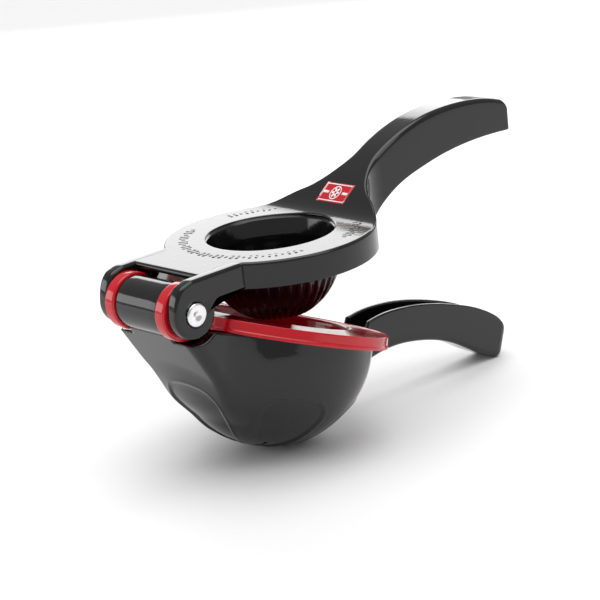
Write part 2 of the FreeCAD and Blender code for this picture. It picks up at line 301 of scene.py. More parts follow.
def round_common(a, b, radius):
    """Distance to the common part of two shapes with a rounded edge.

    min(-r, max(a, b)) + |(max(r + a, 0), max(r + b, 0))|
    """
    return np.minimum(-radius, np.maximum(a, b)) + np.hypot(np.maximum(radius + a, 0),
                                                            np.maximum(radius + b, 0))


def reach(inside, origin, direction, far):
    """Distance along each ray to the surface, by halving between inside and outside."""
    low = np.zeros(direction.shape[:-1])
    high = np.full(direction.shape[:-1], float(far))
    for _ in range(34):
        middle = (low + high) / 2
        within = inside(origin + direction * middle[..., None]) < 0
        low = np.where(within, middle, low)
        high = np.where(within, high, middle)
    return (low + high) / 2


def about_pin(outline, count=128):
    """Closed outline of (radius, y) turned about the hinge axis."""
    turn = all_round(count)
    r, y = outline[:, 0], outline[:, 1]
    return join(np.cos(turn)[:, None] * r, np.broadcast_to(y, (count, len(y))),
                np.sin(turn)[:, None] * r)


# ------------------------ lower arm
def bowl_distance(p):
    """Distance to a round-bottomed cup: |p - c| - R below its centre, |(x, y)| - R above."""
    x, y, z = p[..., 0] - CUP_X, p[..., 1], p[..., 2]
    drop = np.minimum(z - BOWL_Z, 0)
    return np.sqrt(x * x + y * y + drop * drop) - BOWL_R


def web_distance(p):
    """Distance to the sloping web: common part of a slope, two sides, a flat top and
    the space round the hinge, each plane measured along its own normal."""
    x, y, z = p[..., 0], np.abs(p[..., 1]), p[..., 2]
    along = x * math.cos(WEB_SLOPE) - z * math.sin(WEB_SLOPE)
    slope = -x * math.sin(WEB_SLOPE) - z * math.cos(WEB_SLOPE) - WEB_DEPTH
    half = LUG_OUT - 4.5 * smooth(24.0, 56.0, along)
    swept = np.where(y < BARREL_HALF + 0.1, BARREL_R - 0.7, EYE_R + SWING + 0.5) - np.hypot(x, z)
    body = round_common(slope, y - half, 5.0)
    body = round_common(body, swept, 0.5)
    body = round_common(body, z + BAND_H + SWING, 0.5)
    return round_common(body, along - 56.0, 9.0)


def root_distance(p):
    """Distance to the solid root of the lower handle, under the flange."""
    x, y, z = p[..., 0], np.abs(p[..., 1]), p[..., 2]
    body = round_common(y - HANDLE_HALF, (curve_through(LOWER_KEEL, x) - z) * 0.78, 2.4)
    body = round_common(body, z + BAND_H + SWING + 0.2, 0.4)
    return np.maximum(np.maximum(body, x - ROOT_TO), ROOT_FROM - x)


def petal_depth(bearing, polar):
    """Depth of the five recessed petals: a soft step across a rounded wedge outline."""
    pitch = math.tau / PETALS
    off = np.abs((bearing - math.pi + pitch / 2) % pitch - pitch / 2)
    middle = off * np.sin(polar) * BOWL_R
    across = (off - PETAL_HALF) * np.sin(polar) * BOWL_R
    above = (polar - PETAL_TOP) * BOWL_R + 0.012 * middle ** 2
    below = (PETAL_BOTTOM - polar) * BOWL_R
    edge = round_common(round_common(across, above, 9.0), below, 2.0)
    groove = 0.7 * (1 - smooth(-1.3, 0.0, edge))
    bead = 0.3 * np.exp(-((edge - 0.6) / 0.6) ** 2) * smooth(math.radians(20), math.radians(30), polar)
    return groove - bead


def make_lower_body():
    """Bowl and web as one casting, with stadium-shaped slots that point at its axis.

    From the centre of the bowl a ray goes out at every bearing and height; the surface
    is where the joined distance of bowl and web is zero.  The same rows carry on over
    the rounded rim and down the smooth inside.
    """
    web = np.linspace(math.pi - WEB_SPAN, math.pi + WEB_SPAN, 160)
    near = np.linspace(math.pi + WEB_SPAN, math.tau - ROOT_SPAN, 84)[1:-1]
    root = np.linspace(-ROOT_SPAN, ROOT_SPAN, 70) + math.tau
    left = np.linspace(ROOT_SPAN, math.pi - WEB_SPAN, 84)[1:-1] + math.tau
    bearing = np.concatenate([web, near, root, left])
    top = math.atan2(BOWL_RIM - 0.8 - BOWL_Z, BOWL_R)
    height = np.concatenate([np.linspace(-math.pi / 2, -0.42, 92)[:-1], np.linspace(-0.42, top, 66)])
    bb, hh = np.meshgrid(bearing, height, indexing="ij")
    ray = join(np.cos(bb) * np.cos(hh), np.sin(bb) * np.cos(hh), np.sin(hh))
    centre = np.array([CUP_X, 0.0, BOWL_Z])

    def casting(p):
        joined = round_union(bowl_distance(p), web_distance(p), WEB_FILLET)
        return round_union(joined, root_distance(p), WEB_FILLET)

    far = reach(casting, centre, ray, 75)
    plain = np.clip(1 - (far - BOWL_R - 3.0) / 2.0, 0, 1) * (hh < -0.05)
    far = far - plain * petal_depth(bb, hh + math.pi / 2)
    skin = centre + ray * far[..., None]
    skin[..., 2] = np.maximum(skin[..., 2], BOWL_Z - BOWL_R + 0.8)
    inner = BOWL_R - BOWL_WALL
    bend = np.linspace(0, math.pi / 2, 8)
    rim = [(BOWL_R - 0.8 + 0.8 * np.cos(bend), BOWL_RIM - 0.8 + 0.8 * np.sin(bend)),
           (inner + 0.8 - 0.8 * np.sin(bend), BOWL_RIM - 0.8 + 0.8 * np.cos(bend))]
    down = np.linspace(0, math.pi / 2, 44)
    rim.append((inner * np.cos(down), BOWL_Z - inner * np.sin(down)))
    lip = np.concatenate([np.stack(part, axis=-1) for part in rim])
    inside = at_height(CUP + circle(bearing)[:, None] * lip[:, :1], lip[:, 1])
    body = mesh_piece("bowl_casting", [(np.concatenate([skin, inside], axis=1), True, False)])
    length, width = SLOT
    slots = []
    around = circle(all_round(24))
    along = around[:, :1] * width / 2 + np.sign(around[:, :1]) * (length - width) / 2
    for turn in (np.arange(SLOT_COUNT) + 0.5) * math.tau / SLOT_COUNT:
        ahead = circle(turn)
        offset = along * ahead + around[:, 1:] * width / 2 * np.array([-ahead[1], ahead[0]])
        slots.append(upright(CUP + SLOT_RING * ahead, offset, BOWL_Z - BOWL_R - 3, BOWL_Z - BOWL_R + 12))
    cut_away(body, mesh_piece("slots", slots))
    return body


def upright(middle, offset, low, high):
    """Closed upright bar to cut with: plan offsets from its middle, at two heights."""
    rows = [at_height(middle + offset * share, z)
            for share, z in ((0.0, low), (1.0, low), (1.0, high), (0.0, high))]
    return np.stack(rows, axis=1), True, False


def make_barrel():
    """Knuckle on the web: rounded (radius, y) outline turned about the pin."""
    half = BARREL_HALF
    outline = rounded([(BORE_R, -half, 0.5), (BARREL_R, -half, 0.9),
                       (BARREL_R, half, 0.9), (BORE_R, half, 0.5)], 6, 6)
    return mesh_piece("hinge_barrel", [(about_pin(outline), True, True)])


# ------------------------ handles
def side_outline(start_x, corner):
    """Half plan of a straight handle side with its tip, and its outward normals."""
    xs = np.linspace(start_x, HANDLE_END - corner, 170)[:-1]
    side = join(xs, np.full_like(xs, HANDLE_HALF))
    turn = np.linspace(math.pi / 2, 0, 22)
    around = circle(turn)
    nose = np.array([HANDLE_END - corner, HANDLE_HALF - corner]) + corner * around
    ys = np.linspace(HANDLE_HALF - corner, 0, 9)[1:]
    end = join(np.full_like(ys, HANDLE_END), ys)
    points = np.concatenate([side, nose, end])
    normals = np.concatenate([np.tile([0.0, 1.0], (len(side), 1)), around,
                              np.tile([1.0, 0.0], (len(end), 1))])
    return points, normals


def channel(points, normals, sheet, lip, wall, deep, up, fan_stop, soft=2.4):
    """Closed half of a channel-section handle, as point rows along its outline.

    Along the strip a point goes from the middle line over the closed side to the
    outline, round a soft edge, along the wall to the lip, over the lip and back inside.
    `sheet(x)` gives the height of the closed side, `lip(xy)` that of the open edge;
    `up` is +1 when the closed side is below, -1 when it is above.
    """
    middle = join(np.minimum(points[:, 0], fan_stop), np.zeros(len(points)))
    room = np.abs(lip(points) - sheet(points[:, 0]))
    out_r = np.minimum(soft, 0.4 * room)
    lip_r = np.minimum(0.8, 0.2 * room)
    in_r = 2.0
    strip = []

    def on_sheet(share, inset, lift):
        edge = points - normals * np.reshape(inset, (-1, 1))
        xy = middle + (edge - middle) * share
        strip.append(at_height(xy, sheet(xy[:, 0]) + up * lift))

    def on_lip(inset, lift):
        xy = points - normals * np.reshape(inset, (-1, 1))
        strip.append(at_height(xy, lip(xy) + up * lift))

    def wall_to(head):
        foot = strip[-1]
        for share in np.linspace(0, 1, 10)[1:-1]:
            strip.append(foot + (head - foot) * share)

    spread = np.sin(np.linspace(0, math.pi / 2, 16))[:-1]
    for share in spread:
        on_sheet(share, out_r, 0.0)
    for inset, lift in quarter(out_r):
        on_sheet(1.0, inset, lift)
    wall_to(at_height(points, lip(points) - up * lip_r))
    for lift, inset in quarter(lip_r):
        on_lip(inset, -lift)
    for inset, lift in quarter(lip_r):
        on_lip(wall - inset, -lift)
    xy = points - normals * wall
    wall_to(at_height(xy, sheet(xy[:, 0]) + up * (deep + in_r)))
    for lift, inset in quarter(in_r):
        on_sheet(1.0, wall + inset, deep + lift)
    for share in spread[::-1]:
        on_sheet(share, wall + in_r, deep)
    rows = np.stack(strip, axis=1)
    rows = np.concatenate([np.broadcast_to(rows[:1].mean(axis=1, keepdims=True), rows[:1].shape), rows])
    rows[0, :, 1] = 0.0
    return rows


def both_sides(rows):
    """The half and its mirror image across the middle plane."""
    return [(rows, False, False), (rows * np.array([1.0, -1.0, 1.0]), False, False)]


LOWER_RIM = [(112, -1.5), (119, 2.4), (126, 6.0), (136, 9.4), (149, 12.2), (163, 13.8), (177, 14.3),
             (190, 13.8), (202, 11.8), (210.5, 8.2), (216, 3.0)]
LOWER_KEEL = [(93.3, -39.0), (105, -29.5), (115, -21.5), (126, -13.8), (134, -9.9), (141, -7.4),
              (154, -4.7), (168, -3.6), (182, -4.7), (196, -7.4), (209.5, -9.3)]
UPPER_ROOF = [(70, 14.3), (80, 14.31), (88, 14.38), (94, 14.8), (98, 15.9), (102, 18.1), (106, 21.0),
              (111, 24.6), (122, 31.4), (134, 37.6), (147, 42.4), (160, 45.2), (176, 46.3),
              (192, 45.6), (206, 43.2), (216, 40.2)]
UPPER_EDGE = [(86, 2.6), (94, 2.59), (102, 2.6), (108, 2.9), (117, 5.4), (125, 9.9), (133, 14.8),
              (142, 18.8), (154, 22.0), (168, 24.7), (182, 26.2), (197, 26.7), (216, 26.0)]


def keel(x):
    """Underside of the lower handle: a spline that ends in the quarter circle of the nose."""
    bend = np.clip(x - (HANDLE_END - NOSE_R), 0, NOSE_R)
    nose = NOSE_R - NOSE_DROP - np.sqrt(np.maximum(NOSE_R ** 2 - bend ** 2, 0))
    return np.where(x > HANDLE_END - NOSE_R, nose, curve_through(LOWER_KEEL, x))


def make_lower_handle():
    """Upward-open channel beyond the root that is cast with the bowl."""
    points, normals = side_outline(114.0, 6.0)

    def lip(xy):
        step = smooth(FLANGE_R + 0.9, FLANGE_R + 1.5, cup_radius(xy))
        return -7.4 + (curve_through(LOWER_RIM, xy[:, 0]) + 7.4) * step

    rows = channel(points, normals, keel, lip, HANDLE_WALL, HANDLE_SHEET, 1, 207.0)
    return mesh_piece("lower_handle_channel", both_sides(rows))


def roof(x):
    """Height of the plate's top: level, then the spline of the ramp and the handle."""
    first = UPPER_ROOF[0][0]
    ramp = np.maximum(RING_TOP, curve_through(UPPER_ROOF, np.maximum(x, first)))
    return np.where(x < first, RING_TOP, ramp)


def make_upper_handle():
    """Downward-open channel that leaves the ring with a wide hollow fillet each side.

    Its plan follows the ring's edge, then a hollow arc that touches both the ring and
    the straight side.  The top is level across and its height depends on x alone.
    """
    centre_y = HANDLE_HALF + ROOT_FILLET
    centre_x = CUP_X + math.sqrt((RING_R + ROOT_FILLET) ** 2 - centre_y ** 2)
    touch = math.atan2(centre_y, centre_x - CUP_X)
    edge = np.linspace(ROOT_START, touch, 40)[:-1]
    rim = circle(edge)
    sweep = np.linspace(touch - math.pi, -math.pi / 2, 60)
    around = circle(sweep)
    hollow = np.array([centre_x, centre_y]) + ROOT_FILLET * around
    side, side_n = side_outline(centre_x, HANDLE_TIP_R)
    points = np.concatenate([CUP + (RING_R + FLUSH) * rim, hollow, side[1:]])
    normals = np.concatenate([rim, -around, side_n[1:]])

    def top(x):
        flush = FLUSH * (2 * smooth(96.0, 101.0, x) - 1)
        return roof(x) + flush - 2.2 * smooth(HANDLE_END - 6, HANDLE_END, x) ** 2

    def lip(xy):
        return curve_through(UPPER_EDGE, np.minimum(xy[:, 0], HANDLE_END))

    soft = 1.3 + 1.1 * smooth(116.0, 128.0, points[:, 0])
    rows = channel(points, normals, top, lip, HANDLE_WALL, HANDLE_SHEET, -1, 209.0, soft)
    return mesh_piece("upper_handle_channel", both_sides(rows), OPENED)


# ------------------------ insert
def rim_outline(distance, centre, far, bearings):
    """Outline of a star-shaped rim: the zero of a distance along each bearing.

    Returns points and outward normals; the normals are the turned tangents of the
    closed outline, worked out by central differences.
    """
    ray = circle(bearings)
    out = reach(distance, np.array(centre), ray, far)
    points = np.array(centre) + ray * out[:, None]
    tangent = np.roll(points, -1, axis=0) - np.roll(points, 1, axis=0)
    tangent /= np.linalg.norm(tangent, axis=1, keepdims=True)
    return points, join(tangent[:, 1], -tangent[:, 0])


def carried(points, normals, profile):
    """Closed (inset, z) profile carried round an outline."""
    return at_height(points[:, None] - normals[:, None] * profile[:, :1], profile[:, 1])


def bearings_round(marks, base, extra, width):
    """Bearings spaced 1 / (base + sum of extra bumps of the given width at the marks)."""
    angle = np.linspace(0, math.tau, 4001)
    density = np.full_like(angle, float(base))
    for mark in marks:
        off = np.abs((angle - mark + math.pi) % (math.tau) - math.pi)
        density += extra * np.exp(-(off / width) ** 2)
    total = np.concatenate([[0], np.cumsum((density[1:] + density[:-1]) / 2 * (angle[1] - angle[0]))])
    count = int(total[-1])
    return np.interp(np.linspace(0, total[-1], count, endpoint=False), total, angle)


def make_insert():
    """Drained cup with its flange, band and the two arms that carry the hinge eyes."""
    arm_half = (EYE_OUT - EYE_IN) / 2 - 0.15
    arm_mid = (EYE_OUT + EYE_IN) / 2

    def rim(p):
        disc = cup_radius(p) - FLANGE_R
        arm = round_common(np.abs(np.abs(p[..., 1]) - arm_mid) - arm_half, 8.0 - p[..., 0], 0.6)
        arm = np.maximum(arm, p[..., 0] - CUP_X)
        return round_union(disc, arm, 3.5)

    reach_angle = math.atan2(arm_mid, CUP_X - 12)
    bearings = bearings_round([math.pi - reach_angle, math.pi + reach_angle], 40, 420, 0.12)
    points, normals = rim_outline(rim, (CUP_X, 0.0), 60, bearings)
    flat = (points - CUP) / cup_radius(points)[:, None]
    edge = rounded([(0.0, 0.0, 1.3), (0.0, -BAND_H + 1.7, 0.5), (-BAND_LIP, -BAND_H + 1.2, 0.35),
                    (-BAND_LIP, -BAND_H, 0.35), (BAND_WALL, -BAND_H, 0.5), (BAND_WALL, -FLANGE_T, 0.8)], 6)
    skirt = carried(points, normals, edge)
    inner = INSERT_R - INSERT_WALL
    start = math.asin(FLANGE_T / INSERT_R)
    down = np.linspace(start + 0.02, math.pi / 2, 56)
    climb = np.linspace(math.pi / 2, math.asin(1.4 / inner), 56)
    bend = np.linspace(0, math.pi / 2, 7)
    cup = np.concatenate([
        join(INSERT_R + 1.5 - 1.5 * np.sin(bend), -FLANGE_T - 1.5 + 1.5 * np.cos(bend))[:-1],
        join(INSERT_R * np.cos(down), -INSERT_R * np.sin(down))[2:],
        join(inner * np.cos(climb), -inner * np.sin(climb)),
        join(inner + 1.2 - 1.2 * np.cos(bend), -1.2 + 1.2 * np.sin(bend))[1:]])
    bowl = at_height(CUP + flat[:, None] * cup[:, :1], cup[:, 1])
    body = mesh_piece("insert_casting", [(np.concatenate([skirt, bowl], axis=1), True, True)])
    holes = []
    around = DRAIN_R * circle(all_round(28))
    for ring, count in DRAINS:
        for turn in np.arange(count) * math.tau / count:
            holes.append(upright(CUP + ring * circle(turn), around, -INSERT_R * 1.1, -INSERT_R * 0.5))
    cut_away(body, mesh_piece("drains", holes))
    return body


def knuckle(name, distance, centre, inner, outer, side, bore, soft, opened):
    """Flat hinge ear: an outline in the upright plane, rounded over its edges.

    The outline is the zero of a distance along each bearing from `centre`; rows run
    from the bore out over one face, across the edge and back over the other face.
    """
    bearings = all_round(400)
    ray = circle(bearings)
    points, normals = rim_outline(distance, centre, 40, bearings)
    hole = bore * ray
    start = hole + ray * 0.5
    shoulder = points - normals * soft
    half = (outer - inner) / 2
    rows = []
    for face in (1, -1):
        block = [(hole, face * (half - 0.5)), (start, face * half)]
        block += [(start + (shoulder - start) * share, face * half) for share in (0.2, 0.45, 0.7, 0.9)]
        block += [(points - normals * inset, face * (half - drop)) for inset, drop in quarter(soft)]
        rows += block[::face]
    middle = side * (inner + outer) / 2
    grid = np.stack([join(xz[:, 0], np.full(len(xz), middle + y), xz[:, 1])
                     for xz, y in rows], axis=1)
    return mesh_piece(name, [(grid, True, True)], opened)


def make_eyes():
    """Two round eyes of the insert on the pin."""
    def eye(p):
        disc = np.hypot(p[..., 0], p[..., 1]) - EYE_R
        arm = round_common(p[..., 1] + 0.05, -p[..., 1] - BAND_H + 0.05, 0.4)
        arm = round_common(arm, np.abs(p[..., 0] - 6) - 8.0, 0.4)
        return round_union(disc, arm, 1.2)
    return [knuckle("insert_eye_%s_cast" % word, eye, (0.0, -3.0), EYE_IN, EYE_OUT, side, BORE_R, 0.9, 0.0)
            for word, side in SIDES]


# ------------------------ upper arm
def make_plate():
    """Ring plate with its square-fronted neck and skirt, as one profile round the plan.

    The plan is a disc joined to a straight neck with a sharp inner corner.  The profile
    runs from the hole over the top, down the outside, under the skirt and back inside.
    """
    def plan(p):
        disc = cup_radius(p) - RING_R
        neck = round_common(np.abs(p[..., 1]) - (LUG_OUT - 0.6), PLATE_FRONT - p[..., 0], 1.0)
        neck = np.maximum(neck, p[..., 0] - CUP_X)
        return round_union(disc, neck, 0.5)

    corner = math.atan2(LUG_OUT, CUP_X - PLATE_FRONT)
    joint = math.atan2(LUG_OUT, 38.6)
    marks = [math.pi - corner, math.pi + corner, math.pi - joint, math.pi + joint]
    bearings = bearings_round(marks, 60, 320, 0.09)
    points, normals = rim_outline(plan, (CUP_X, 0.0), 70, bearings)
    front = smooth(10.5, 9.0, points[:, 0]) * smooth(LUG_IN + 0.6, LUG_IN, np.abs(points[:, 1]))
    low = RING_BOTTOM + (RING_TOP - 2.7 - RING_BOTTOM) * front
    inner_low = RING_BOTTOM + (6.3 - RING_BOTTOM) * front
    skirt = SKIRT + (LIP_T - SKIRT) * front
    ray = circle(bearings)
    rows = []

    def level(xy, z):
        rows.append(at_height(xy, z))

    def top(xy, drop=0.0):
        level(xy, roof(xy[:, 0]) - drop - 0.02 * smooth(30.0, 27.0, xy[:, 0]))

    def around_cup(radius):
        return CUP + ray * radius

    for drop, inset in quarter(HOLE_EDGE, 8):
        top(around_cup(HOLE_R + inset), drop)
    inside = around_cup(HOLE_R + HOLE_EDGE)
    shoulder = points - normals * 1.3
    for share in np.linspace(0, 1, 27)[1:-1]:
        top(inside + (shoulder - inside) * share)
    for inset, drop in quarter(1.3, 8):
        top(points - normals * inset, drop)
    wall_top = roof(points[:, 0]) - 1.3
    for share in np.linspace(0, 1, 6)[1:-1]:
        level(points, wall_top + (low + 0.8 - wall_top) * share)
    for lift, inset in quarter(0.8, 8):
        level(points - normals * inset, low + lift)
    for inset, lift in quarter(0.8, 8):
        level(points - normals * (skirt - inset)[:, None], inner_low + lift)
    shoulder = points - normals * skirt[:, None]
    under = roof(shoulder[:, 0]) - PLATE_T
    for share in np.linspace(0, 1, 6)[1:]:
        level(shoulder, inner_low + 0.8 + np.maximum(under - inner_low - 0.8, 0) * share)
    inside = around_cup(HOLE_R)
    for share in np.linspace(1, 0, 14)[1:]:
        top(inside + (shoulder - inside) * share, PLATE_T)
    return mesh_piece("ring_plate", [(np.stack(rows, axis=1), True, True)], OPENED)


def make_dome():
    """Ribbed plunger: a round-bottomed shell whose outer radius swells at each rib.

    Outer radius = root + rib height * flat-topped wave of the bearing, faded out towards
    the bottom and at the top; the inside is smooth.
    """
    root = DOME_R - RIB_H
    count = RIBS * 14
    bearing = all_round(count)
    wave = np.cos(bearing * RIBS)
    tooth = smooth(-0.35, 0.45, wave)
    bends = np.linspace(0, math.pi / 2, 64)
    polar = np.concatenate([np.zeros(11), bends])
    under = RING_TOP - PLATE_T
    level = np.concatenate([np.linspace(under, DOME_Z, 12)[:-1], np.full(64, DOME_Z)])
    fade = smooth(math.radians(68), math.radians(60), polar) * smooth(under - 0.2, under - 2.4, level)
    radius = root + RIB_H * tooth[:, None] * fade[None, :]
    inner = np.concatenate([bends[::-1], np.zeros(6)])
    mouth = RING_TOP - 0.65
    inner_level = np.concatenate([np.full(64, DOME_Z), np.linspace(DOME_Z, mouth, 7)[1:]])
    inner_r = DOME_INNER + (HOLE_R - 0.03 - DOME_INNER) * (inner_level - DOME_Z) / (mouth - DOME_Z)
    r_out = radius * np.cos(polar)
    z_out = level - radius * np.sin(polar)
    r_in = np.broadcast_to(inner_r * np.cos(inner), (count, len(inner)))
    z_in = np.broadcast_to(inner_level - DOME_INNER * np.sin(inner), (count, len(inner)))
    r = np.concatenate([r_out, r_in], axis=1)
    z = np.concatenate([z_out, z_in], axis=1)
    grid = at_height(CUP + circle(bearing)[:, None] * r[..., None], z)
    return mesh_piece("ribbed_dome", [(grid, True, True)], OPENED)


def make_lugs():
    """Two outer lugs: a round eye on the pin that swells into the side of the neck.

    The eye's radius grows from the pin's level to the top of the plate, and a hollow
    fillet joins it to the straight side, which ends inside the ring's skirt.
    """
    def lug(p):
        x, z = p[..., 0], p[..., 1]
        angle = np.arctan2(z, x)
        grown = 4.6 * smooth(math.radians(172), math.radians(78), angle) * smooth(0.5, 1.0, angle)
        disc = np.hypot(x, z) - LUG_R - grown
        side = round_common(RING_BOTTOM - z, x - 28.6, 0.8)
        side = round_common(side, -x, 0.1)
        return round_common(round_union(disc, side, 3.2), z - RING_TOP, 2.4)
    return [knuckle("outer_lug_%s" % word, lug, (4.0, 5.5), LUG_IN, LUG_OUT, side, BORE_R, 1.5, OPENED)
            for word, side in SIDES]


def raised(path, half, height, across=3, closed=False):
    """Low strip on top of the plate along a plan path: its cross-section is sunk at both
    sides, follows the top at a small height between them, and ends taper to a point."""
    if closed:
        tangent = np.roll(path, -1, axis=0) - np.roll(path, 1, axis=0)
    else:
        tangent = np.gradient(path, axis=0)
    tangent = tangent / np.linalg.norm(tangent, axis=1, keepdims=True)
    side = join(-tangent[:, 1], tangent[:, 0])
    share = np.concatenate([[-1.15], np.linspace(-1, 1, across), [1.15]])
    xy = path[:, None] + side[:, None] * share[:, None] * half
    lift = np.concatenate([[-0.25], np.full(across, height), [-0.25]])
    grid = at_height(xy, roof(xy[..., 0]) + lift)
    if not closed:
        ends = [np.broadcast_to(row.mean(axis=0), row.shape)[None] for row in (grid[0], grid[-1])]
        grid = np.concatenate([ends[0], grid, ends[1]])
    return grid, closed, True


def make_ring_dashes():
    """Raised dashes round the hole, each a short strip that points at the cup's axis."""
    marks = []
    for first, last, count in DASH_ARCS:
        for order, bearing in enumerate(np.radians(np.linspace(first, last, count))):
            ray = circle(bearing)
            start, end = (35.8, 39.8) if order % 3 else (37.0, 38.6)
            path = CUP + ray * np.linspace(start, end, 4)[:, None]
            marks.append(raised(path, 0.5, 0.10, 5))
    return mesh_piece("ring_dashes", marks, OPENED)


def make_label():
    """Printed panel on the ramp and its plain sign: a cut round of citrus in a frame."""
    span = np.linspace(-LABEL_HALF[1], LABEL_HALF[1], 12)
    field = raised(join(np.full(12, LABEL_X), span), LABEL_HALF[0], 0.04, 15)
    panel = mesh_piece("label_panel", [field], OPENED)
    turn = all_round(48)
    middle = np.array([LABEL_X, 0.0])
    strips = [raised(middle + 2.8 * circle(turn), 0.22, 0.08, 3, True)]
    for angle in np.radians(np.arange(0, 360, 60) + 30):
        ray = circle(angle)
        strips.append(raised(middle + ray * np.linspace(0.6, 2.2, 4)[:, None], 0.42, 0.08))
    long = np.linspace(-LABEL_HALF[1] + 0.7, LABEL_HALF[1] - 0.7, 16)
    for x in (-3.7, 3.7):
        strips.append(raised(join(np.full(16, LABEL_X + x), long), 0.2, 0.08))
    for edge in (-1, 1):
        y = edge * np.linspace(4.2, LABEL_HALF[1] - 1.2, 8)
        strips.append(raised(join(np.full(8, LABEL_X), y), 0.5, 0.08))
    return panel, mesh_piece("label_sign", strips, OPENED)


def make_pin():
    """Steel pin: a (radius, y) outline with softly domed ends, turned about its axis."""
    half = LUG_OUT + 1.1
    bend = np.linspace(0, math.pi / 2, 9)
    shoulder = join(PIN_R - PIN_EDGE * (1 - np.cos(bend)), half - PIN_EDGE + PIN_EDGE * np.sin(bend))
    crown = np.array([[3.0, half], [1.6, half], [1.3, half - 0.35], [0.0, half - 0.45]])
    end = np.concatenate([np.array([[PIN_R, 0.0], [PIN_R, half - PIN_EDGE]]), shoulder, crown])
    outline = np.concatenate([(end * np.array([1.0, -1.0]))[::-1], end[1:]])
    return mesh_piece("steel_pin", [(about_pin(outline, 96), True, False)], OPENED)


# ------------------------ finishes
class Nodes:
    """Small helper that adds shader nodes and links them in reading order."""

    def __init__(self, name):
        self.material = bpy.data.materials.new(name)
        self.material.use_nodes = True
        self.tree = self.material.node_tree
        self.tree.nodes.clear()
        self.out = self.tree.nodes.new("ShaderNodeOutputMaterial")
        self.shader = self.tree.nodes.new("ShaderNodeBsdfPrincipled")
        self.tree.links.new(self.shader.outputs[0], self.out.inputs[0])
        self.where = self.tree.nodes.new("ShaderNodeTexCoord").outputs["Object"]

    def link(self, source, target):
        self.tree.links.new(source, target)

    def shade(self, name, source):
        self.link(source, self.shader.inputs[name])

    def node(self, kind, *inputs):
        """New node; a (socket, value) pair is linked if the value is a socket, else set."""
        made = self.tree.nodes.new("ShaderNode" + kind)
        for name, value in inputs:
            if isinstance(value, bpy.types.NodeSocket):
                self.link(value, made.inputs[name])
            else:
                made.inputs[name].default_value = value
        return made

    def noise(self, scale, detail=3.0, rough=0.5):
        return self.node("TexNoise", ("Scale", scale), ("Detail", detail), ("Roughness", rough),
                         ("Vector", self.where)).outputs["Fac"]

    def edges(self):
        return self.node("NewGeometry").outputs["Pointiness"]

    def span(self, source, low, high, to_low, to_high):
        return self.node("MapRange", ("From Min", low), ("From Max", high), ("To Min", to_low),
                         ("To Max", to_high), ("Value", source)).outputs["Result"]

    def mix(self, share, first, second):
        node = self.tree.nodes.new("ShaderNodeMix")
        node.data_type = "RGBA"
        self.link(share, node.inputs["Factor"])
        for value, socket in ((first, node.inputs["A"]), (second, node.inputs["B"])):
            if isinstance(value, bpy.types.NodeSocket):
                self.link(value, socket)
            else:
                socket.default_value = (*value, 1.0)
        return node.outputs["Result"]

    def times(self, first, second):
        node = self.node("Math", (0, first), (1, second))
        node.operation = "MULTIPLY"
        return node.outputs[0]

    def bump(self, source, strength, distance, *below):
        normal = [("Normal", socket) for socket in below]
        return self.node("Bump", ("Strength", strength), ("Distance", distance),
                         ("Height", source), *normal).outputs["Normal"]


def enamel(name, colour, thin, settings):
    """Glossy fired enamel: faint orange peel, cloudy gloss and edges where it is thin."""
    kit = Nodes(name)
    cloud = kit.noise(38.0, 4.0)
    peel = kit.noise(420.0, 2.0, 0.4)
    grain = kit.noise(2600.0, 2.0)
    worn = kit.times(kit.span(kit.edges(), 0.56, 0.66, 0.0, 0.5),
                     kit.span(kit.noise(90.0), 0.42, 0.62, 0.0, 1.0))
    pale = [min(1.0, c * 1.35 + 0.002) for c in colour]
    tone = kit.mix(kit.span(cloud, 0.35, 0.65, 0.0, 0.35), colour, pale)
    kit.shade("Base Color", kit.mix(worn, tone, thin))
    kit.shade("Roughness", kit.span(cloud, 0.3, 0.7, settings.gloss * 0.75, settings.gloss * 1.3))
    kit.shade("Normal", kit.bump(grain, 0.02, 0.00005, kit.bump(peel, 0.09, 0.00025)))
    kit.shader.inputs["IOR"].default_value = 1.5
    return kit.material


def steel(name, colour):
    """Bright drawn steel: fine turning marks across the pin and a little dulling."""
    kit = Nodes(name)
    cloud = kit.noise(120.0, 4.0)
    dull = [c * 0.82 for c in colour]
    kit.shade("Base Color", kit.mix(kit.span(cloud, 0.3, 0.7, 0.0, 1.0), colour, dull))
    kit.shade("Roughness", kit.span(kit.noise(900.0), 0.3, 0.7, 0.14, 0.30))
    kit.shade("Normal", kit.bump(kit.noise(1500.0), 0.06, 0.00004))
    kit.shader.inputs["Metallic"].default_value = 1.0
    return kit.material


def finish_with(piece, body, slot, material, *nodes):
    """Hangs a piece on its body, hides the nodes it replaces, and gives its finish."""
    piece.data.materials.clear()
    piece.data.materials.append(material)
    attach(piece, body)
    if nodes:
        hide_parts(*nodes)


def enamel_of(tint):
    """The enamel of that tint (black, red or print), made on its first use."""
    name, thin = THIN[tint]
    looks = bpy.context.scene.press_looks
    return bpy.data.materials.get(name) or enamel(name, list(getattr(looks, tint)), thin, looks)


# material name and the colour where the coat is thin, for each tint
THIN = {"black": ("black enamel", (0.09, 0.09, 0.095)),
        "red": ("red enamel", (0.62, 0.10, 0.09)),
        "print": ("white print", (0.7, 0.7, 0.7))}


# ------------------------ settings
COLOUR = {"subtype": "COLOR", "size": 3, "min": 0.0, "max": 1.0}
ANGLE = {"subtype": "ANGLE", "unit": "ROTATION"}
LENGTH = {"subtype": "DISTANCE", "unit": "LENGTH"}


